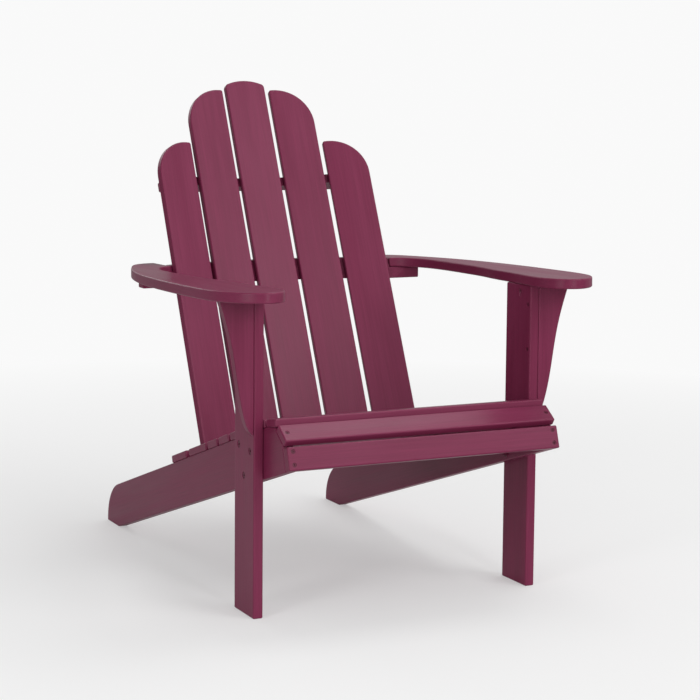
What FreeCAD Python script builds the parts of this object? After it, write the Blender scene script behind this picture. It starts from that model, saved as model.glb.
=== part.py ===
import FreeCAD, Part
import os
from math import atan, cos, degrees, radians, sin, sqrt, tan

import Sketcher

# Adirondack garden chair, built from flat painted boards, screws and leg bolts.
# Units are millimetres. +Z is up, the chair faces -Y and X runs across the seat.
# The origin is on the ground, under the middle of the chair's box.
#
# Three frames are used.  "Seat frame": Y runs rearwards and down along the side
# rails, Z is square to them, and the origin is the toe, where the lower edge of
# a side rail meets the ground.  "Back frame": Z runs up the middle back slat, Y
# is square to it and points rearwards.  "Leg frame": world axes, with Y counted
# from the front edge of the front legs.

Vector = FreeCAD.Vector
doc = FreeCAD.newDocument("adirondack_chair")
sheet = doc.addObject("Spreadsheet::Sheet", "Sheet")

DRIVING_DIMENSIONS = [
    ("leg_front", -348, "world Y of the front edge of the front legs"),
    ("edge_radius", 2.5, "rounding of every board's long edges"),
    ("fit_gap", 0.2, "clearance between boards that are cut to each other"),
    # front legs
    ("leg_outer", 277.5, "half the width over the front legs"),
    ("leg_thickness", 18, "front leg, arm bracket, apron and arm boards"),
    ("leg_depth", 84, "front leg, front to back"),
    ("leg_height", 549.5, "front leg at its front edge"),
    # side rails, each one board from the apron to the rear foot
    ("side_thickness", 20, "side rail board"),
    ("side_width", 84, "side rail board"),
    ("seat_angle", 18, "slope of the side rails, degrees"),
    ("toe_distance", 738, "leg front to the toe of the rear foot"),
    ("side_length", 871, "toe to the front end of a side rail"),
    ("side_front_height", 48, "front end of a side rail, under the front slat"),
    ("nose_back", 847.2, "toe to the top of the front slat's bevel"),
    ("nose_height", 78.8, "height of the side rail there"),
    ("facet_back", 816.5, "toe to the rear end of the flatter front facet"),
    ("foot_round_centre", 20, "toe to the centre of the rounded rear end"),
    # seat
    ("slat_thickness", 14, "seat and back slats"),
    ("seat_slat_width", 46.5, "one of the five narrow seat slats"),
    ("seat_slat_pitch", 55.5, "from one narrow seat slat to the next"),
    ("seat_slat_first", 784.1, "toe to the middle of the first narrow slat"),
    ("front_slat_width", 38, "the two slats that round the front of the seat"),
    ("apron_height", 40, "front apron board"),
    ("rear_seat_front", 529.9, "toe to the front edge of the rear seat board"),
    ("lower_rail_rear", 350.6, "toe to the rear edge of the lower back rail"),
    # back
    ("back_angle", 24.6, "lean of the back from upright, degrees"),
    ("back_base_y", 412.5, "leg front to the front face of the middle slat"),
    ("back_base_z", 277.5, "height at which back_base_y is measured"),
    ("back_curve", 680, "radius of the dished back, to the slats' front faces"),
    ("back_slat_width", 84.8, "one back slat"),
    ("back_slat_pitch", 93.4, "along the curve, from slat to slat"),
    ("back_slat_foot", -94, "lower end of the slats in the back frame"),
    ("outer_slat_top", 552, "top of slats 1 and 5 in the back frame"),
    ("inner_slat_top", 671, "top of slats 2 and 4 in the back frame"),
    ("middle_slat_top", 692, "crown of slat 3 in the back frame"),
    ("middle_slat_crown", 9.5, "rise of the crown of slat 3"),
    ("shoulder_radius", 77, "large outer corner of slats 1, 2, 4 and 5"),
    ("inner_corner_radius", 4, "small inner corner of those slats"),
    ("crown_corner_radius", 9, "upper corners of slat 3"),
    ("upper_rail_height", 467, "underside of the upper back rail, back frame"),
    ("upper_rail_half", 208, "half the length of the upper back rail"),
    ("upper_rail_depth", 27, "depth behind the middle slat"),
    ("rail_thickness", 18, "upper and arm-level back rails"),
    # rails behind the back at arm height
    ("support_rail_half", 295, "half the length of the arm support rail"),
    ("support_rail_thickness", 21.5, "height of the arm support rail"),
    ("support_rail_front", 491, "leg front to the rail's straight front ends"),
    ("support_rail_end_depth", 26, "depth of its straight ends"),
    ("support_rail_bow", 60, "rise of its bowed rear edge"),
    ("support_rail_bow_half", 270, "half the width over which it bows"),
    ("middle_rail_half", 234.5, "half the length of the arm-level back rail"),
    ("middle_rail_front", 491, "leg front to the front of that rail before its cut"),
    # arms
    ("arm_slope", 0.025, "fall of the arms towards the back, mm per mm"),
    ("arm_inner_rear", 235, "inner edge of an arm beside the back"),
    ("arm_rear", 592, "leg front to the rear edge of an arm"),
    ("arm_nose", 106, "overhang of an arm in front of the leg"),
    # brackets
    ("bracket_tip", 315, "height of a bracket's lower tip"),
    ("bracket_reach", 63, "width of a bracket under the arm"),
    # fasteners
    ("screw_head", 8, "diameter of a countersunk screw head"),
    ("screw_shank", 4, "diameter of a screw's shank"),
    ("head_depth", 0.8, "how far heads sit below the surface"),
    ("bolt_head", 13, "diameter of a leg bolt's flat head"),
    ("bolt_shank", 6, "diameter of a leg bolt"),
    ("nut_width", 10, "across the flats of a leg nut"),
    ("nut_height", 5, "height of a leg nut"),
    ("washer_diameter", 16, "washer under a leg nut"),
    ("washer_height", 1.5, "thickness of that washer"),
]
for row, (alias, number, meaning) in enumerate(DRIVING_DIMENSIONS, start=1):
    sheet.set(f"A{row}", meaning)
    sheet.set(f"B{row}", str(number))
    sheet.setAlias(f"B{row}", alias)
doc.recompute()


def size(alias):
    """One driving dimension, read from the sheet."""
    return float(getattr(sheet, alias))


SEAT_ANGLE = radians(size("seat_angle"))
BACK_ANGLE = radians(size("back_angle"))
ARM_TILT = atan(size("arm_slope"))
ACROSS = Vector(1, 0, 0)
SIDES = (("left", -1), ("right", 1))
SIDE_OUTER = size("leg_outer") - size("leg_thickness")
SIDE_MIDDLE = SIDE_OUTER - size("side_thickness") / 2
TOE = Vector(0, size("leg_front") + size("toe_distance"), 0)
SEAT_TOP = size("side_width") + size("slat_thickness")

SEAT_FRAME = FreeCAD.Placement(TOE, FreeCAD.Rotation(ACROSS, -size("seat_angle")))
BACK_FRAME = FreeCAD.Placement(
    Vector(0, size("leg_front") + size("back_base_y"), size("back_base_z")),
    FreeCAD.Rotation(ACROSS, -size("back_angle")),
)
LEG_FRAME = FreeCAD.Placement(Vector(0, size("leg_front"), 0), FreeCAD.Rotation())
ARM_FRAME = FreeCAD.Placement(
    Vector(0, size("leg_front"), size("leg_height")),
    FreeCAD.Rotation(ACROSS, -degrees(ARM_TILT)),
)


def moved(frame, x=0.0, y=0.0, z=0.0, turn=None):
    """A placement at (x, y, z) in a frame, with an optional further turn."""
    return frame.multiply(FreeCAD.Placement(Vector(x, y, z), turn or FreeCAD.Rotation()))


# ---------------------------------------------------------------- sketches


def origin_plane(body, role):
    return next(feature for feature in body.Origin.OriginFeatures if feature.Role == role)


def draw_outline(body, role, corners, arcs=None):
    """A closed sketch through corners given as pairs of sheet expressions.

    arcs maps a corner's index to (radius expression, rise): the side from that
    corner to the next one is an arc whose middle lies rise to its right.
    """
    arcs = arcs or {}
    sketch = body.newObject("Sketcher::SketchObject", body.Name + "_outline")
    sketch.AttachmentSupport = [(origin_plane(body, role), "")]
    sketch.MapMode = "FlatFace"
    points = []
    for x_text, y_text in corners:
        x = float(sheet.evalExpression(x_text))
        y = float(sheet.evalExpression(y_text))
        points.append(Vector(x, y, 0))
    count = len(points)
    for index, start in enumerate(points):
        end = points[(index + 1) % count]
        if index in arcs:
            chord = end - start
            right = Vector(chord.y, -chord.x, 0).normalize()
            middle = (start + end) / 2 + right * arcs[index][1]
            sketch.addGeometry(Part.Arc(start, middle, end), False)
        else:
            sketch.addGeometry(Part.LineSegment(start, end), False)
    # An arc drawn clockwise keeps its own start and end the other way round.
    ends = {index: arc_ends(sketch, index, points) for index in range(count)}
    for index in range(count):
        following = (index + 1) % count
        joint = (index, ends[index][1], following, ends[following][0])
        sketch.addConstraint(Sketcher.Constraint("Coincident", *joint))
    for index, texts in enumerate(corners):
        for kind, text in zip(("DistanceX", "DistanceY"), texts):
            value = points[index].x if kind == "DistanceX" else points[index].y
            constraint = Sketcher.Constraint(kind, -1, 1, index, ends[index][0], value)
            number = sketch.addConstraint(constraint)
            sketch.setExpression(f"Constraints[{number}]", text)
    for index, (radius_text, rise) in arcs.items():
        radius = sketch.Geometry[index].Radius
        number = sketch.addConstraint(Sketcher.Constraint("Radius", index, radius))
        sketch.setExpression(f"Constraints[{number}]", radius_text)
    return sketch


def arc_ends(sketch, index, points):
    """The sketch's vertex numbers of a side's first and last corner."""
    start = sketch.getPoint(index, 1)
    return (1, 2) if start.distanceToPoint(points[index]) < 0.001 else (2, 1)


def pad_outline(body, sketch, length_text, across=False, backwards=False):
    """Give the outline its thickness, about its plane when across is true."""
    pad = body.newObject("PartDesign::Pad", body.Name + "_board")
    pad.Profile = sketch
    pad.setExpression("Length", length_text)
    pad.Midplane = across
    pad.Reversed = backwards
    doc.recompute()
    return pad


def round_corner(body, feature, radius_text, chosen):
    """Round the edges of a feature that the function chosen accepts."""
    names = [f"Edge{n}" for n, edge in enumerate(feature.Shape.Edges, start=1) if chosen(edge)]
    fillet = body.newObject("PartDesign::Fillet", body.Name + "_corner")
    fillet.Base = (feature, names)
    fillet.setExpression("Radius", radius_text)
    doc.recompute()
    return fillet


def ease_edges(body, feature):
    """The small rounding that is sanded on every edge of a board."""
    fillet = body.newObject("PartDesign::Fillet", body.Name + "_easing")
    fillet.Base = (feature, [""])
    fillet.UseAllEdges = True
    fillet.setExpression("Radius", "Sheet.edge_radius")
    doc.recompute()
    return fillet


def new_body(name, placement):
    body = doc.addObject("PartDesign::Body", name)
    body.Placement = placement
    return body


# ---------------------------------------------------------------- legs and side rails

FOOT_ROUND_RISE = 19.0  # bulge of a side rail's round end, settled by its radius


def make_front_leg(name, side):
    inner = Vector(side * size("leg_outer"), 0, 0)
    body = new_body(name, moved(LEG_FRAME, inner.x))
    height_behind = "Sheet.leg_height - Sheet.leg_depth * Sheet.arm_slope"
    corners = [
        ("0", "0"),
        ("Sheet.leg_depth", "0"),
        ("Sheet.leg_depth", height_behind),
        ("0", "Sheet.leg_height"),
    ]
    sketch = draw_outline(body, "YZ_Plane", corners)
    pad = pad_outline(body, sketch, "Sheet.leg_thickness", backwards=side > 0)
    ease_edges(body, pad)
    return body


def make_side_rail(name, side):
    """Side rail and rear leg in one board, with a rounded rear end and a flat foot."""
    body = new_body(name, moved(SEAT_FRAME, side * SIDE_OUTER))
    centre = size("foot_round_centre")
    # distance from toe to heel along the ground, where the round end meets it
    half = centre * cos(SEAT_ANGLE)
    heel = sqrt(half**2 + size("side_width") ** 2 - centre**2) - half
    corners = [
        ("-Sheet.side_length", "0"),
        ("0", "0"),
        (f"{heel} * cos(Sheet.seat_angle * 1 deg)", f"{heel} * sin(Sheet.seat_angle * 1 deg)"),
        ("-Sheet.foot_round_centre", "Sheet.side_width"),
        ("-Sheet.facet_back", "Sheet.side_width"),
        ("-Sheet.nose_back", "Sheet.nose_height"),
        ("-Sheet.side_length", "Sheet.side_front_height"),
    ]
    rear_end = {2: ("Sheet.side_width", FOOT_ROUND_RISE)}
    sketch = draw_outline(body, "YZ_Plane", corners, rear_end)
    pad = pad_outline(body, sketch, "Sheet.side_thickness", backwards=side > 0)
    ease_edges(body, pad)
    return body


# ---------------------------------------------------------------- seat


def make_cross_slat(name, placement, width_text, thickness_text="Sheet.slat_thickness"):
    """A plain slat over both side rails, its underside on the placement's plane."""
    body = new_body(name, placement)
    corners = [
        (f"-{width_text} / 2", "0"),
        (f"{width_text} / 2", "0"),
        (f"{width_text} / 2", thickness_text),
        (f"-{width_text} / 2", thickness_text),
    ]
    sketch = draw_outline(body, "YZ_Plane", corners)
    length = "2 * (Sheet.leg_outer - Sheet.leg_thickness)"
    pad = pad_outline(body, sketch, length, across=True)
    ease_edges(body, pad)
    return body


def facet_placement(start, end, along):
    """On a facet of the side rails: its middle is a given length up from start."""
    run = end - start
    tilt = degrees(atan(run.z / run.y))
    middle = start + run.normalize() * along
    return moved(SEAT_FRAME, 0, middle.y, middle.z, FreeCAD.Rotation(ACROSS, tilt))


FRONT_EDGE = Vector(0, -size("side_length"), size("side_front_height"))
NOSE_EDGE = Vector(0, -size("nose_back"), size("nose_height"))
FACET_END = Vector(0, -size("facet_back"), size("side_width"))
# how far the two rounding slats start below the lower edge of their facets
FRONT_OVERHANG = 7.8
NOSE_OVERHANG = 6.5
FRONT_SLAT_PLACE = facet_placement(
    FRONT_EDGE, NOSE_EDGE, size("front_slat_width") / 2 - FRONT_OVERHANG
)
NOSE_SLAT_PLACE = facet_placement(
    NOSE_EDGE, FACET_END, size("front_slat_width") / 2 - NOSE_OVERHANG
)


def seat_slat_position(number):
    """Seat frame Y of the middle of narrow slat number 0 to 4."""
    return -size("seat_slat_first") + number * size("seat_slat_pitch")


def make_apron():
    place = moved(SEAT_FRAME, 0, -size("side_length"), 0)
    body = new_body("front_apron", place)
    corners = [
        ("-Sheet.leg_thickness", "0"),
        ("0", "0"),
        ("0", "Sheet.apron_height"),
        ("-Sheet.leg_thickness", "Sheet.apron_height"),
    ]
    sketch = draw_outline(body, "YZ_Plane", corners)
    length = "2 * (Sheet.leg_outer - Sheet.leg_thickness)"
    pad = pad_outline(body, sketch, length, across=True)
    ease_edges(body, pad)
    return body


# Where the middle slat's faces cross the top of the seat boards, in the seat frame.
LEAN = BACK_ANGLE - SEAT_ANGLE
BACK_BASE_IN_SEAT = SEAT_FRAME.inverse().multVec(BACK_FRAME.Base)
SLAT_LINE_Y = BACK_BASE_IN_SEAT.y - (BACK_BASE_IN_SEAT.z - size("side_width")) * tan(LEAN)
SLAT_EDGE_X = 225.0  # half the width over which the seat boards follow the dish


def make_rear_seat_board():
    """The last seat board, whose rear edge follows the dish of the back."""
    body = new_body("rear_seat_board", moved(SEAT_FRAME, 0, 0, size("side_width")))
    radius = size("back_curve") - size("fit_gap")
    rear = SLAT_LINE_Y - size("fit_gap") / 2
    fall = radius - sqrt(radius**2 - SLAT_EDGE_X**2)
    half = "(Sheet.leg_outer - Sheet.leg_thickness)"
    corners = [
        (f"-{half}", "-Sheet.rear_seat_front"),
        (half, "-Sheet.rear_seat_front"),
        (half, f"{rear - fall}"),
        (f"{SLAT_EDGE_X}", f"{rear - fall}"),
        (f"-{SLAT_EDGE_X}", f"{rear - fall}"),
        (f"-{half}", f"{rear - fall}"),
    ]
    arcs = {3: ("Sheet.back_curve - Sheet.fit_gap", fall)}
    sketch = draw_outline(body, "XY_Plane", corners, arcs)
    pad = pad_outline(body, sketch, "Sheet.slat_thickness")
    ease_edges(body, pad)
    return body


# ---------------------------------------------------------------- back slats


def slat_turn(number):
    """Angle in degrees by which slat 1 to 5 is turned on the dished back."""
    return degrees((number - 3) * size("back_slat_pitch") / size("back_curve"))


def slat_placement(number):
    angle = radians(slat_turn(number))
    x = size("back_curve") * sin(angle)
    y = -size("back_curve") * (1 - cos(angle))
    return moved(BACK_FRAME, x, y, 0, FreeCAD.Rotation(Vector(0, 0, 1), -degrees(angle)))


def upright_edge(edge, x_sign, height):
    """True for the edge through the board's thickness at one upper corner."""
    middle = edge.CenterOfMass
    square = abs(edge.tangentAt(edge.FirstParameter).y) > 0.99
    return square and middle.x * x_sign > 0 and middle.z > height


def make_back_slat(number):
    body = new_body(f"back_slat_{number}", slat_placement(number))
    half = "Sheet.back_slat_width / 2"
    foot = "Sheet.back_slat_foot"
    tops = {1: "outer", 2: "inner", 3: "middle", 4: "inner", 5: "outer"}
    top = f"Sheet.{tops[number]}_slat_top"
    if number == 3:
        shoulder = f"{top} - Sheet.middle_slat_crown"
        corners = [(f"-{half}", foot), (half, foot), (half, shoulder), (f"-{half}", shoulder)]
        rise = size("middle_slat_crown")
        radius = "((Sheet.back_slat_width / 2) ^ 2 + Sheet.middle_slat_crown ^ 2)"
        radius = f"{radius} / (2 * Sheet.middle_slat_crown)"
        arcs = {2: (radius, rise)}
    else:
        corners = [(f"-{half}", foot), (half, foot), (half, top), (f"-{half}", top)]
        arcs = {}
    sketch = draw_outline(body, "XZ_Plane", corners, arcs)
    shape = pad_outline(body, sketch, "Sheet.slat_thickness", backwards=True)
    low = shape.Shape.BoundBox.ZMax - size("middle_slat_crown") - 1
    if number == 3:
        radius = "Sheet.crown_corner_radius"
        shape = round_corner(body, shape, radius, lambda e: upright_edge(e, e.CenterOfMass.x, low))
    else:
        outer = -1 if number < 3 else 1
        shape = round_corner(
            body, shape, "Sheet.shoulder_radius", lambda e: upright_edge(e, outer, low)
        )
        shape = round_corner(
            body, shape, "Sheet.inner_corner_radius", lambda e: upright_edge(e, -outer, low)
        )
    ease_edges(body, shape)
    return body


# ---------------------------------------------------------------- back rails
# Each rail is a plain board, cut to the dish of the back by one long round bar
# that reaches just past the rear corners of the slats.
BAR_LENGTH = 1400
BLANK_FRONT = 50  # a blank starts this far forward, well inside the round bar
LOWER_RAIL_REACH = 0.98  # share of the dish's depth that the lower rail reaches into


def make_back_bar():
    bar = doc.addObject("Part::Cylinder", "dish_of_the_back")
    reach = "(Sheet.back_curve + Sheet.slat_thickness) ^ 2 + (Sheet.back_slat_width / 2) ^ 2"
    bar.setExpression("Radius", f"sqrt({reach}) + Sheet.fit_gap")
    bar.Height = BAR_LENGTH
    bar.Placement = moved(BACK_FRAME, 0, -size("back_curve"), -bar.Height.Value / 2)
    return bar


def cut_to_back(blank, bar, name):
    rail = doc.addObject("Part::Cut", name)
    rail.Base = blank
    rail.Tool = bar
    return rail


def make_upper_rail(bar):
    body = new_body("upper_back_rail_blank", moved(BACK_FRAME, 0, 0, size("upper_rail_height")))
    rear = "Sheet.slat_thickness + Sheet.upper_rail_depth"
    corners = [
        ("-Sheet.upper_rail_half", f"-{BLANK_FRONT}"),
        ("Sheet.upper_rail_half", f"-{BLANK_FRONT}"),
        ("Sheet.upper_rail_half", rear),
        ("-Sheet.upper_rail_half", rear),
    ]
    sketch = draw_outline(body, "XY_Plane", corners)
    pad = pad_outline(body, sketch, "Sheet.rail_thickness")
    shape = round_corner(
        body,
        pad,
        "Sheet.crown_corner_radius",
        lambda e: abs(e.tangentAt(e.FirstParameter).z) > 0.99 and e.CenterOfMass.y > 0,
    )
    ease_edges(body, shape)
    return cut_to_back(body, bar, "upper_back_rail")


def make_lower_rail(bar):
    body = new_body("lower_back_rail_blank", moved(SEAT_FRAME, 0, 0, size("side_width")))
    slat_rear = SLAT_LINE_Y + size("slat_thickness") / cos(LEAN)
    front = slat_rear - LOWER_RAIL_REACH * SLAT_EDGE_X**2 / (2 * size("back_curve"))
    half = "(Sheet.leg_outer - Sheet.leg_thickness)"
    corners = [
        (f"-{half}", f"{front}"),
        (half, f"{front}"),
        (half, "-Sheet.lower_rail_rear"),
        (f"-{half}", "-Sheet.lower_rail_rear"),
    ]
    sketch = draw_outline(body, "XY_Plane", corners)
    pad = pad_outline(body, sketch, "Sheet.slat_thickness")
    ease_edges(body, pad)
    return cut_to_back(body, bar, "lower_back_rail")


SUPPORT_TOP = (
    size("leg_height")
    - size("arm_slope") * (size("support_rail_front") + size("support_rail_end_depth"))
    - size("fit_gap")
)
SUPPORT_UNDERSIDE = SUPPORT_TOP - size("support_rail_thickness")


def make_bowed_rail(name, bar, half_text, front_text, height, thickness_text):
    """A level rail with a bowed rear edge, standing at a given height."""
    body = new_body(name + "_blank", moved(LEG_FRAME, 0, 0, height))
    bow_half = size("support_rail_bow_half")
    bow = size("support_rail_bow")
    radius = (bow_half**2 + bow**2) / (2 * bow)
    whole_half = float(sheet.evalExpression(half_text))
    half = min(whole_half, bow_half)
    end_rise = sqrt(radius**2 - half**2) - (radius - bow)
    rear = f"Sheet.support_rail_front + Sheet.support_rail_end_depth + {end_rise}"
    corners = [
        (f"-{half_text}", front_text),
        (half_text, front_text),
        (half_text, rear),
        (f"{half}", rear),
        (f"-{half}", rear),
        (f"-{half_text}", rear),
    ]
    if whole_half <= bow_half:
        corners = corners[:3] + corners[5:]
        arcs = {2: (f"{radius}", bow - end_rise)}
    else:
        arcs = {3: (f"{radius}", bow - end_rise)}
    sketch = draw_outline(body, "XY_Plane", corners, arcs)
    pad = pad_outline(body, sketch, thickness_text)
    ease_edges(body, pad)
    return cut_to_back(body, bar, name)


# ---------------------------------------------------------------- arms and brackets


def spline(points):
    """A smooth curve through points."""
    curve = Part.BSplineCurve()
    curve.interpolate([Vector(*point, 0) for point in points])
    return curve.toShape()


def line(start, end):
    return Part.LineSegment(Vector(*start, 0), Vector(*end, 0)).toShape()


def eased_board(edges, thickness, corners_too):
    """A board from a closed outline in the XY plane, with its rims eased.

    corners_too also eases the short edges through the thickness.
    """
    board = Part.Face(Part.Wire(edges)).extrude(Vector(0, 0, thickness))
    rims = [e for e in board.Edges if abs(e.CenterOfMass.z - thickness / 2) > 0.4 * thickness]
    return board.makeFillet(size("edge_radius"), board.Edges if corners_too else rims)


def arm_outline():
    """Outline of the right arm from above, in the leg frame's X and Y."""
    rear = size("arm_rear")
    inner = size("arm_inner_rear")
    flare = 503
    outer_side = [(262, 588), (284, 570), (302, 535), (321, 485), (341, 415), (355, 340)]
    outer_side += [(364, 250), (368, 150), (368, 60), (364, -10)]
    nose = [(356, -45), (342, -72), (322, -94), (296, -size("arm_nose"))]
    nose += [(271, -97), (254, -72), (249, -35)]
    inner_side = [(254, 20), (261, 75), (264, 118), (270, 165), (278, 220), (282, 280)]
    inner_side += [(285, 340), (285, 395), (280, 438), (262, 481)]
    return [
        spline([(inner, rear), *outer_side, *nose, *inner_side, (inner, flare)]),
        line((inner, flare), (inner, rear)),
    ]


def mirrored(shape):
    return shape.mirror(Vector(0, 0, 0), ACROSS)


def make_arm(name, side):
    board = eased_board(arm_outline(), size("leg_thickness"), True)
    arm = doc.addObject("Part::Feature", name)
    arm.Shape = board if side > 0 else mirrored(board)
    arm.Placement = ARM_FRAME
    return arm


def bracket_outline():
    """Outline of the right bracket from the front: X across, Y standing for height."""
    leg = size("leg_outer")
    tip = size("bracket_tip")
    top = size("leg_height") - size("arm_slope") * size("leg_thickness") - size("fit_gap")
    reach = size("bracket_reach")
    curve = [
        (leg, tip),
        (leg + 9, tip + 10),
        (leg + 17, tip + 30),
        (leg + 27, tip + 76),
        (leg + 34.5, tip + 124),
        (leg + 43, tip + 168),
        (leg + 54, tip + 207),
        (leg + reach, top),
    ]
    return [spline(curve), line((leg + reach, top), (leg, top)), line((leg, top), (leg, tip))]


def make_bracket(name, side):
    board = eased_board(bracket_outline(), size("leg_thickness"), False)
    bracket = doc.addObject("Part::Feature", name)
    bracket.Shape = board if side > 0 else mirrored(board)
    upright = FreeCAD.Rotation(ACROSS, 90)
    bracket.Placement = moved(LEG_FRAME, 0, size("leg_thickness"), 0, upright)
    return bracket


# ---------------------------------------------------------------- fasteners
# A fastener is drawn along +Z with its head's face at z = 0 and turned to its
# place.  Its hole is the same solid with an open recess over the head.


def pointing(direction, start):
    return FreeCAD.Placement(start, FreeCAD.Rotation(Vector(0, 0, 1), direction))


def revolved(profile):
    wire = Part.makePolygon([Vector(r, 0, z) for r, z in profile])
    return Part.Face(wire).revolve(Vector(0, 0, 0), Vector(0, 0, 1), 360)


def screw_body(length):
    """A countersunk screw: a short rim, the cone of the head, the shank and its tip."""
    rim = 0.5
    head = size("screw_head") / 2
    shank = size("screw_shank") / 2
    flank = head - shank
    tip = 5
    profile = [(0, 0), (head, 0), (head, rim), (shank, rim + flank), (shank, length - tip)]
    return revolved(profile + [(0, length), (0, 0)])


def screw_pair(place, length, recess):
    """A cross-recess wood screw and the hole that it fills."""
    solid = screw_body(length)
    hole_top = Part.makeCylinder(size("screw_head") / 2 + 0.3, recess, Vector(0, 0, -recess))
    hole = solid.fuse(hole_top)
    slot_length = size("screw_head") * 0.55
    slot_width = 1.1
    slot_depth = 1.2
    for turn in (0, 90):
        slot = Part.makeBox(slot_length, slot_width, slot_depth)
        slot.translate(Vector(-slot_length / 2, -slot_width / 2, 0))
        slot.rotate(Vector(0, 0, 0), Vector(0, 0, 1), turn)
        solid = solid.cut(slot)
    solid.Placement = place
    hole.Placement = place
    return solid, hole


def screw_group(name, spots, length, recess=None):
    """Identical screws as one node.  spots are (start on the surface, direction)."""
    recess = recess or size("head_depth")
    solids = []
    holes = []
    for start, direction in spots:
        unit = Vector(direction).normalize()
        solid, hole = screw_pair(pointing(unit, start + unit * size("head_depth")), length, recess)
        solids.append(solid)
        holes.append(hole)
    group = doc.addObject("Part::Feature", name)
    group.Shape = Part.makeCompound(solids)
    return group, holes


def in_frame(frame, x, y, z):
    return frame.multVec(Vector(x, y, z))


def direction_in(frame, x, y, z):
    return frame.Rotation.multVec(Vector(x, y, z))


def apron_spots():
    """Two screws in each end of the apron, at shares of its height."""
    front = -size("side_length") - size("leg_thickness")
    inward = direction_in(SEAT_FRAME, 0, 1, 0)
    for side in (-1, 1):
        for height in (0.24, 0.8):
            z = size("apron_height") * height
            yield in_frame(SEAT_FRAME, side * SIDE_MIDDLE, front, z), inward


def seat_spots():
    """One screw in each end of every seat slat, pointing down into the side rails."""
    places = [FRONT_SLAT_PLACE, NOSE_SLAT_PLACE]
    for number in range(5):
        places.append(moved(SEAT_FRAME, 0, seat_slat_position(number), size("side_width")))
    for place in places:
        down = direction_in(place, 0, 0, -1)
        for side in (-1, 1):
            yield in_frame(place, side * SIDE_MIDDLE, 0, size("slat_thickness")), down


def wide_board_spots():
    """Two screws in each end of the rear seat board and of the lower back rail."""
    down = direction_in(SEAT_FRAME, 0, 0, -1)
    inset = 18
    depth = 48
    for front in (-size("rear_seat_front") + inset, -size("lower_rail_rear") - inset - depth):
        for side in (-1, 1):
            for y in (front, front + depth):
                yield in_frame(SEAT_FRAME, side * SIDE_MIDDLE, y, SEAT_TOP), down


def slat_spots(height):
    """One screw in the middle of each back slat's front face, pointing rearwards."""
    for number in range(1, 6):
        place = slat_placement(number)
        yield in_frame(place, 0, 0, height), direction_in(place, 0, 1, 0)


def rear_rail_spots():
    """From the rear edge of the upper rail into each back slat.

    The rail's rear edge is straight, so the screws stand a little closer than the slats.
    """
    closer = 0.94
    z = size("upper_rail_height") + size("rail_thickness") / 2
    rear = size("slat_thickness") + size("upper_rail_depth")
    for number in range(1, 6):
        angle = radians(slat_turn(number))
        x = (size("back_curve") + rear) * sin(angle) * closer
        yield in_frame(BACK_FRAME, x, rear, z), direction_in(BACK_FRAME, 0, -1, 0)


def arm_level_spots():
    """From the bowed rear edge of the arm-level rail into each back slat."""
    z = SUPPORT_TOP + size("rail_thickness") / 2
    bow = size("support_rail_bow")
    radius = (size("support_rail_bow_half") ** 2 + bow**2) / (2 * bow)
    rear = size("support_rail_front") + size("support_rail_end_depth") + bow
    wider = 1.02
    for number in range(1, 6):
        angle = radians(slat_turn(number)) * wider
        x = radius * sin(angle)
        y = rear - radius * (1 - cos(angle))
        yield in_frame(LEG_FRAME, x, y, z), Vector(-sin(angle), -cos(angle), 0)


def arm_spots():
    """From below the support rail into the arms."""
    for side in (-1, 1):
        for x, y in ((250, 510), (280, 505)):
            yield in_frame(LEG_FRAME, side * x, y, SUPPORT_UNDERSIDE), Vector(0, 0, 1)


def middle_rail_spots():
    """From below the support rail into the arm-level rail on top of it."""
    for side in (-1, 1):
        yield in_frame(LEG_FRAME, side * 140, 542, SUPPORT_UNDERSIDE), Vector(0, 0, 1)


def pocket_spots():
    """Slanted screws from the inner face of each front leg up into the arm."""
    slant = radians(22)
    below_top = 14
    for side in (-1, 1):
        start = in_frame(LEG_FRAME, side * SIDE_OUTER, 36, size("leg_height") - below_top)
        yield start, Vector(side * sin(slant), 0, cos(slant))


def bracket_spots():
    """Through each leg, from its inner face, into the edge of the bracket."""
    for side in (-1, 1):
        for height in (433, 514):
            start = in_frame(LEG_FRAME, side * SIDE_OUTER, size("leg_thickness") / 2, height)
            yield start, Vector(side, 0, 0)


# Y and Z of the three bolts in each front leg, in the leg frame
BOLT_SPOTS = ((17, 287), (65, 291), (43, 241))


def bolt_spots():
    for side in (-1, 1):
        for y, z in BOLT_SPOTS:
            yield in_frame(LEG_FRAME, side * size("leg_outer"), y, z), Vector(-side, 0, 0)


def bolt_solids(start, direction):
    """A leg bolt with a flat head and a hexagon socket, its washer and its nut."""
    head = size("bolt_head") / 2
    shank = size("bolt_shank") / 2
    head_height = 2.5
    sink = 0.6
    grip = size("leg_thickness") + size("side_thickness") - sink
    length = grip + size("washer_height") + size("nut_height") + 2
    profile = [(0, 0), (head - 0.6, 0), (head, 0.6), (head, head_height), (shank, head_height)]
    bolt = revolved(profile + [(shank, length), (0, length), (0, 0)])
    socket = hexagon(4, 1.8)
    hole = Part.makeCylinder(head, head_height + sink, Vector(0, 0, -sink))
    hole = hole.fuse(Part.makeCylinder(shank, grip + 1))
    washer = Part.makeCylinder(size("washer_diameter") / 2, size("washer_height"))
    washer = washer.cut(Part.makeCylinder(shank, size("washer_height")))
    washer.translate(Vector(0, 0, grip))
    nut = hexagon(size("nut_width"), size("nut_height"))
    nut = nut.cut(Part.makeCylinder(shank, size("nut_height")))
    nut.translate(Vector(0, 0, grip + size("washer_height")))
    place = pointing(direction, start + direction * sink)
    solids = [bolt.cut(socket), washer, nut, hole]
    for solid in solids:
        solid.Placement = place.multiply(solid.Placement)
    return solids


def hexagon(across_flats, height):
    reach = across_flats / 2 / cos(radians(30))
    corners = [radians(60 * k) for k in range(7)]
    wire = Part.makePolygon([Vector(reach * cos(a), reach * sin(a), 0) for a in corners])
    return Part.Face(wire).extrude(Vector(0, 0, height))


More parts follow.
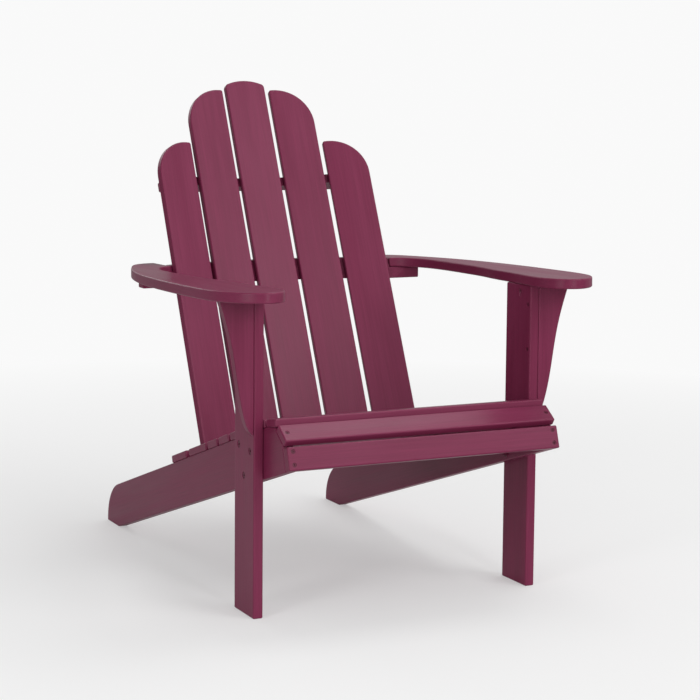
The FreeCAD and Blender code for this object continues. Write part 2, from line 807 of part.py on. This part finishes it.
def make_leg_bolts():
    """Three groups: bolts, washers and nuts; the holes are returned with them."""
    sets = [bolt_solids(start, direction) for start, direction in bolt_spots()]
    for index, name in enumerate(("leg_bolts", "leg_bolt_washers", "leg_bolt_nuts")):
        group = doc.addObject("Part::Feature", name)
        group.Shape = Part.makeCompound([solids[index] for solids in sets])
        finish(group, name)
    return [solids[3] for solids in sets]


# ---------------------------------------------------------------- assembly

sub_parts = []


def finish(thing, label):
    thing.Label = label
    sub_parts.append(thing)
    return thing


def drilled(blank, name, holes):
    """The board with every hole that reaches it; a board without holes stays as it is."""
    doc.recompute()
    box = blank.Shape.BoundBox
    reaching = [hole for hole in holes if box.intersect(hole.BoundBox)]
    reaching = [hole for hole in reaching if hole.common(blank.Shape).Volume > 1]
    if not reaching:
        return finish(blank, name)
    drill = doc.addObject("Part::Feature", name + "_holes")
    drill.Shape = Part.makeCompound(reaching)
    if len(reaching) > 1:
        drill.Shape = reaching[0].multiFuse(reaching[1:])
    if blank.Label == name:
        blank.Label = name + "_blank"
    board = doc.addObject("Part::Cut", name + "_drilled")
    board.Base = blank
    board.Tool = drill
    return finish(board, name)


def build_boards():
    """Every board of the chair before drilling, as (object, node name)."""
    bar = make_back_bar()
    boards = []
    for word, side in SIDES:
        boards.append((make_front_leg(f"front_leg_{word}", side), f"front_leg_{word}"))
        boards.append((make_side_rail(f"side_rail_{word}", side), f"side_rail_{word}"))
        boards.append((make_arm(f"arm_{word}", side), f"arm_{word}"))
        boards.append((make_bracket(f"arm_bracket_{word}", side), f"arm_bracket_{word}"))
    boards.append((make_apron(), "front_apron"))
    front_width = "Sheet.front_slat_width"
    boards.append((make_cross_slat("front_slat", FRONT_SLAT_PLACE, front_width), "front_slat"))
    boards.append((make_cross_slat("seat_slat_1", NOSE_SLAT_PLACE, front_width), "seat_slat_1"))
    for number in range(5):
        place = moved(SEAT_FRAME, 0, seat_slat_position(number), size("side_width"))
        name = f"seat_slat_{number + 2}"
        boards.append((make_cross_slat(name, place, "Sheet.seat_slat_width"), name))
    boards.append((make_rear_seat_board(), "rear_seat_board"))
    for number in range(1, 6):
        boards.append((make_back_slat(number), f"back_slat_{number}"))
    boards.append((make_upper_rail(bar), "upper_back_rail"))
    boards.append((make_lower_rail(bar), "lower_back_rail"))
    support = make_bowed_rail(
        "arm_support_rail",
        bar,
        "Sheet.support_rail_half",
        "Sheet.support_rail_front",
        SUPPORT_UNDERSIDE,
        "Sheet.support_rail_thickness",
    )
    boards.append((support, "arm_support_rail"))
    middle = make_bowed_rail(
        "middle_back_rail",
        bar,
        "Sheet.middle_rail_half",
        "Sheet.middle_rail_front",
        SUPPORT_TOP,
        "Sheet.rail_thickness",
    )
    boards.append((middle, "middle_back_rail"))
    return boards


def build_screws():
    """Every screw group, and the list of all the holes that they need."""
    lower_height = (
        (size("side_width") + size("slat_thickness") / 2 - BACK_BASE_IN_SEAT.z) / cos(LEAN)
    )
    pocket_recess = 24
    groups = [
        ("apron_screws", apron_spots(), 40, None),
        ("seat_slat_screws", seat_spots(), 35, None),
        ("rear_board_screws", wide_board_spots(), 35, None),
        ("lower_rail_screws", slat_spots(lower_height), 35, None),
        ("upper_rail_screws", rear_rail_spots(), 38, None),
        ("middle_rail_screws", arm_level_spots(), 34, None),
        ("arm_rail_screws", arm_spots(), 34, None),
        ("support_rail_screws", middle_rail_spots(), 34, None),
        ("arm_pocket_screws", pocket_spots(), 25, pocket_recess),
        ("bracket_screws", bracket_spots(), 40, None),
    ]
    holes = []
    for name, spots, length, recess in groups:
        group, group_holes = screw_group(name, list(spots), length, recess)
        finish(group, name)
        holes.extend(group_holes)
    return holes


boards = build_boards()
all_holes = build_screws() + make_leg_bolts()
for blank, name in boards:
    drilled(blank, name, all_holes)
doc.recompute()

for thing in doc.Objects:
    if "Invalid" in thing.State or "Error" in thing.State:
        raise RuntimeError(f"{thing.Name} failed: {thing.State}")
for thing in sub_parts:
    if thing.Shape.isNull() or not thing.Shape.isValid():
        raise RuntimeError(f"{thing.Label} has no valid shape")

os.makedirs("parts", exist_ok=True)
for thing in sub_parts:
    thing.Shape.exportStep(f"parts/{thing.Label}.step")
print(len(sub_parts), "nodes written")
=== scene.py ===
from math import cos, radians, sin

import bpy
from mathutils import Matrix, Vector

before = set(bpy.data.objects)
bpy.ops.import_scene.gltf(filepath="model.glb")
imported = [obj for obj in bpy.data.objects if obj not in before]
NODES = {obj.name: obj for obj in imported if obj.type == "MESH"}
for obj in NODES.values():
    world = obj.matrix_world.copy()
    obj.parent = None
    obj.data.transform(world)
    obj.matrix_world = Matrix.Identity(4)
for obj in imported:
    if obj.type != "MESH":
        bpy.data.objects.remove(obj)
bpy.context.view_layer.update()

SEAT_SLOPE = 18.0  # slope of the side rails, degrees from level
BACK_LEAN = 24.6  # lean of the back, degrees from upright
BACK_CURVE = 0.68  # radius of the dished back, metres
BACK_SLAT_PITCH = 0.0934  # from slat to slat along that curve, metres


# ---------------------------------------------------------------- camera


def make_camera():
    """The photograph's viewpoint: left of the chair's front, a little above its top."""
    yaw = radians(25.39)
    pitch = radians(6.06)
    roll = radians(0.447)
    forward = Vector((sin(yaw) * cos(pitch), cos(yaw) * cos(pitch), -sin(pitch)))
    level_right = Vector((cos(yaw), -sin(yaw), 0))
    level_up = level_right.cross(forward)
    right = level_right * cos(roll) + level_up * sin(roll)
    up = level_up * cos(roll) - level_right * sin(roll)
    data = bpy.data.cameras.new("camera")
    data.sensor_width = 36
    data.lens = 100.51
    data.shift_x = 0.0378
    data.shift_y = -0.1014
    data.clip_start = 0.1
    data.clip_end = 100
    camera = bpy.data.objects.new("camera", data)
    axes = Matrix((right, up, -forward)).transposed()
    camera.matrix_world = Matrix.Translation((-1.562, -3.3223, 0.9261)) @ axes.to_4x4()
    bpy.context.scene.collection.objects.link(camera)
    bpy.context.scene.camera = camera


# ---------------------------------------------------------------- node helpers


def new_material(name):
    material = bpy.data.materials.new(name)
    material.use_nodes = True
    tree = material.node_tree
    tree.nodes.clear()
    output = tree.nodes.new("ShaderNodeOutputMaterial")
    shader = tree.nodes.new("ShaderNodeBsdfPrincipled")
    tree.links.new(shader.outputs["BSDF"], output.inputs["Surface"])
    return material, tree, shader


def add_node(tree, kind, inputs=None, **settings):
    """A node with settings, and inputs given as numbers or as other nodes' sockets."""
    node = tree.nodes.new(kind)
    for key, value in settings.items():
        setattr(node, key, value)
    for key, value in (inputs or {}).items():
        if isinstance(value, bpy.types.NodeSocket):
            tree.links.new(value, node.inputs[key])
        else:
            node.inputs[key].default_value = value
    return node


def remap(tree, source, low, high, new_low, new_high):
    """Source mapped linearly from low..high to new_low..new_high, and held there."""
    values = {"Value": source, "From Min": low, "From Max": high}
    values.update({"To Min": new_low, "To Max": new_high})
    return add_node(tree, "ShaderNodeMapRange", values).outputs["Result"]


def stretched_noise(tree, vector, along, across, detail=4.0):
    """Noise with features 1/along metres long and 1/across metres wide."""
    scale = add_node(
        tree, "ShaderNodeVectorMath", {0: vector, 1: (along, across, across)}, operation="MULTIPLY"
    )
    noise = add_node(
        tree,
        "ShaderNodeTexNoise",
        {"Vector": scale.outputs[0], "Scale": 1.0, "Detail": detail, "Roughness": 0.55},
    )
    return noise.outputs["Fac"]


def mix(tree, factor, first, second, blend="MIX"):
    node = add_node(tree, "ShaderNodeMix", data_type="RGBA", blend_type=blend)
    for socket, value in ((0, factor), (6, first), (7, second)):
        if isinstance(value, bpy.types.NodeSocket):
            tree.links.new(value, node.inputs[socket])
        else:
            node.inputs[socket].default_value = value
    return node.outputs[2]


def multiply(tree, first, second):
    return add_node(tree, "ShaderNodeMath", {0: first, 1: second}, operation="MULTIPLY").outputs[0]


def edge_mask(tree, radius):
    """Near 1 on edges and corners, 0 on flat faces."""
    bevel = add_node(tree, "ShaderNodeBevel", {"Radius": radius}, samples=4)
    surface = add_node(tree, "ShaderNodeNewGeometry")
    dot = add_node(
        tree,
        "ShaderNodeVectorMath",
        {0: bevel.outputs[0], 1: surface.outputs["True Normal"]},
        operation="DOT_PRODUCT",
    )
    return remap(tree, dot.outputs["Value"], 0.99, 0.8, 0.0, 1.0)


# ---------------------------------------------------------------- painted wood

PAINT = (0.208, 0.025, 0.073, 1)
PAINT_DEEP = (0.182, 0.020, 0.062, 1)
PAINT_DUSTY = (0.232, 0.036, 0.090, 1)
# lighter edge colour: real paint wear and a painted highlight of the rounded edges
EDGE_WEAR_AND_HIGHLIGHT = (0.30, 0.070, 0.13, 1)
# screw and bolt heads darkened: painted shade of their recesses
HEAD_PAINT_SHADED = (0.105, 0.010, 0.032, 1)
HEAD_PAINT_SHADED_PALE = (0.150, 0.016, 0.048, 1)
# lighter head edge colour: real wear and a painted highlight of the rounded edges
HEAD_EDGE_WEAR_AND_HIGHLIGHT = (0.24, 0.07, 0.12, 1)


def painted_wood(name, turn, seed):
    """Satin paint over wood whose grain runs along local X after the given turn."""
    material, tree, shader = new_material(name)
    place = add_node(tree, "ShaderNodeTexCoord")
    angles = turn.to_euler()
    offset = (seed * 1.37 % 5, seed * 2.11 % 7, seed * 0.73 % 3)
    mapping = add_node(
        tree,
        "ShaderNodeMapping",
        {"Vector": place.outputs["Object"], "Rotation": angles, "Location": offset},
    )
    vector = mapping.outputs[0]
    fine = stretched_noise(tree, vector, 9.0, 520.0)
    figure = stretched_noise(tree, vector, 2.2, 46.0, 3.0)
    cloud = stretched_noise(tree, vector, 3.0, 8.0, 2.0)
    color = mix(tree, remap(tree, figure, 0.35, 0.68, 0.0, 1.0), PAINT_DEEP, PAINT)
    color = mix(tree, remap(tree, cloud, 0.42, 0.75, 0.0, 0.55), color, PAINT_DUSTY)
    grain = remap(tree, fine, 0.3, 0.72, 0.88, 1.07)
    shade = add_node(tree, "ShaderNodeCombineColor", {0: grain, 1: grain, 2: grain})
    color = mix(tree, 1.0, color, shade.outputs[0], "MULTIPLY")
    # edges lightened: real paint wear and a painted highlight of the rounded edges
    wear_and_highlight = multiply(tree, edge_mask(tree, 0.0035), remap(tree, cloud, 0.35, 0.65, 0.1, 0.45))
    color = mix(tree, wear_and_highlight, color, EDGE_WEAR_AND_HIGHLIGHT)
    tree.links.new(color, shader.inputs["Base Color"])
    rough = remap(tree, figure, 0.3, 0.75, 0.32, 0.42)
    tree.links.new(rough, shader.inputs["Roughness"])
    shader.inputs["Specular IOR Level"].default_value = 0.24
    orange_peel = stretched_noise(tree, vector, 240.0, 300.0, 2.0)
    height = add_node(tree, "ShaderNodeMath", {0: fine, 1: orange_peel}, operation="ADD")
    bump = add_node(
        tree,
        "ShaderNodeBump",
        {"Strength": 0.35, "Distance": 0.00025, "Height": height.outputs[0]},
    )
    tree.links.new(bump.outputs[0], shader.inputs["Normal"])
    return material


def painted_steel(name):
    """Screw and bolt heads under the same paint, darkened as painted shade of their recesses."""
    material, tree, shader = new_material(name)
    place = add_node(tree, "ShaderNodeTexCoord").outputs["Object"]
    cloud = stretched_noise(tree, place, 160.0, 160.0, 3.0)
    # heads darker than the boards: painted shade of their recesses
    color = mix(tree, remap(tree, cloud, 0.4, 0.7, 0.0, 1.0), HEAD_PAINT_SHADED, HEAD_PAINT_SHADED_PALE)
    # head edges lightened: real wear and a painted highlight of the rounded edges
    wear_and_highlight = multiply(tree, edge_mask(tree, 0.0006), 0.35)
    color = mix(tree, wear_and_highlight, color, HEAD_EDGE_WEAR_AND_HIGHLIGHT)
    tree.links.new(color, shader.inputs["Base Color"])
    rough = remap(tree, cloud, 0.3, 0.7, 0.32, 0.5)
    tree.links.new(rough, shader.inputs["Roughness"])
    shader.inputs["Specular IOR Level"].default_value = 0.3
    bump = add_node(tree, "ShaderNodeBump", {"Strength": 0.3, "Distance": 0.0001, "Height": cloud})
    tree.links.new(bump.outputs[0], shader.inputs["Normal"])
    return material


ALONG_X = Matrix.Identity(3)


def grain_turn(node):
    """The rotation that brings a board's long direction onto X."""
    if node.startswith("back_slat"):
        number = int(node[-1])
        angle = (number - 3) * BACK_SLAT_PITCH / BACK_CURVE
        lean = radians(BACK_LEAN)
        normal = Vector((sin(angle), cos(angle) * cos(lean), -cos(angle) * sin(lean)))
        long = Vector((0, sin(lean), cos(lean)))
    elif node.startswith("side_rail"):
        slope = radians(SEAT_SLOPE)
        normal = Vector((1, 0, 0))
        long = Vector((0, cos(slope), -sin(slope)))
    elif node.startswith(("front_leg", "arm_bracket")):
        normal = Vector((1, 0, 0))
        long = Vector((0, 0, 1))
    elif node in ("arm_left", "arm_right"):
        normal = Vector((0, 0, 1))
        long = Vector((0, 1, 0))
    else:
        return ALONG_X
    side = normal.cross(long).normalized()
    return Matrix((long, side, long.cross(side)))


def is_fastener(node):
    return node.endswith(("screws", "bolts", "nuts", "washers"))


def dress_nodes():
    steel = painted_steel("painted_steel")
    for seed, node in enumerate(sorted(NODES), start=1):
        thing = NODES[node]
        if is_fastener(node):
            material = steel
        else:
            material = painted_wood("paint_" + node, grain_turn(node), seed)
        thing.data.materials.clear()
        thing.data.materials.append(material)
        for polygon in thing.data.polygons:
            polygon.material_index = 0


# ---------------------------------------------------------------- studio


CHAIR_MIDDLE = (0, 0, 0.5)
SURROUND = 0.95  # brightness of the background as the camera sees it
ROOM_LIGHT = 0.54  # light of the room on the chair
ROOM_SHADE = 0.22  # the same from the dark side of the room
DARK_SIDE = (-0.85, 0.5, -0.15)
FLOOR_LIGHT = 0.34  # light of the far floor on the chair
FLOOR_HALF = 40.0
FADE_START = 0.3
FADE_END = 2.6
NEAR_FADE = 0.35  # share of the fade that the floor has under the chair


def make_floor():
    """A pale floor that fades into the bright surround well away from the chair."""
    mesh = bpy.data.meshes.new("floor")
    half = FLOOR_HALF
    verts = [(-half, -half, 0), (half, -half, 0), (half, half, 0), (-half, half, 0)]
    mesh.from_pydata(verts, [], [(0, 1, 2, 3)])
    floor = bpy.data.objects.new("floor", mesh)
    bpy.context.scene.collection.objects.link(floor)
    material, tree, shader = new_material("pale_floor")
    place = add_node(tree, "ShaderNodeTexCoord").outputs["Object"]
    cloud = stretched_noise(tree, place, 1.4, 1.4, 2.0)
    color = mix(tree, cloud, (0.87, 0.87, 0.87, 1), (0.89, 0.89, 0.89, 1))
    tree.links.new(color, shader.inputs["Base Color"])
    shader.inputs["Roughness"].default_value = 0.9
    shader.inputs["Specular IOR Level"].default_value = 0.1
    distance = add_node(tree, "ShaderNodeVectorMath", {0: place}, operation="LENGTH")
    fade = remap(tree, distance.outputs["Value"], FADE_START, FADE_END, NEAR_FADE, 1.0)
    seen = add_node(tree, "ShaderNodeLightPath").outputs["Is Camera Ray"]
    strength = remap(tree, seen, 0.0, 1.0, FLOOR_LIGHT, SURROUND)
    glow = add_node(tree, "ShaderNodeEmission", {"Color": (1, 1, 1, 1), "Strength": strength})
    blend = add_node(
        tree,
        "ShaderNodeMixShader",
        {0: fade, 1: shader.outputs["BSDF"], 2: glow.outputs["Emission"]},
    )
    output = next(node for node in tree.nodes if node.type == "OUTPUT_MATERIAL")
    tree.links.new(blend.outputs[0], output.inputs["Surface"])
    mesh.materials.append(material)


def area_light(name, place, size, power):
    """A soft rectangular light that faces the middle of the chair."""
    data = bpy.data.lights.new(name, "AREA")
    data.shape = "RECTANGLE"
    data.size = size[0]
    data.size_y = size[1]
    data.energy = power
    light = bpy.data.objects.new(name, data)
    light.location = place
    aim = Vector(CHAIR_MIDDLE) - Vector(place)
    light.rotation_euler = aim.to_track_quat("-Z", "Y").to_euler()
    bpy.context.scene.collection.objects.link(light)


def make_lights():
    """Key light from the front right, four weaker lights around it, and a soft room."""
    area_light("key", (1.6, -2.6, 2.4), (1.8, 1.8), 34)
    area_light("above", (0.9, 0.1, 2.9), (1.2, 1.2), 17)
    area_light("fill", (-2.6, -1.6, 1.1), (0.7, 1.6), 19)
    area_light("behind", (-0.7, 3.3, 1.9), (2.0, 1.6), 16)
    area_light("strip", (-0.1, -3.4, 1.0), (0.35, 1.8), 18)
    world = bpy.data.worlds.new("studio")
    world.use_nodes = True
    tree = world.node_tree
    direction = add_node(tree, "ShaderNodeTexCoord").outputs["Generated"]
    toward_shade = add_node(
        tree, "ShaderNodeVectorMath", {0: direction, 1: DARK_SIDE}, operation="DOT_PRODUCT"
    )
    room = remap(tree, toward_shade.outputs["Value"], -0.1, 0.85, ROOM_LIGHT, ROOM_SHADE)
    seen = add_node(tree, "ShaderNodeLightPath").outputs["Is Camera Ray"]
    strength = remap(tree, seen, 0.0, 1.0, room, SURROUND)
    tree.links.new(strength, tree.nodes["Background"].inputs["Strength"])
    tree.nodes["Background"].inputs["Color"].default_value = (1, 1, 1, 1)
    bpy.context.scene.world = world
    bpy.context.scene.view_settings.view_transform = "Standard"


make_camera()
dress_nodes()
make_floor()
make_lights()
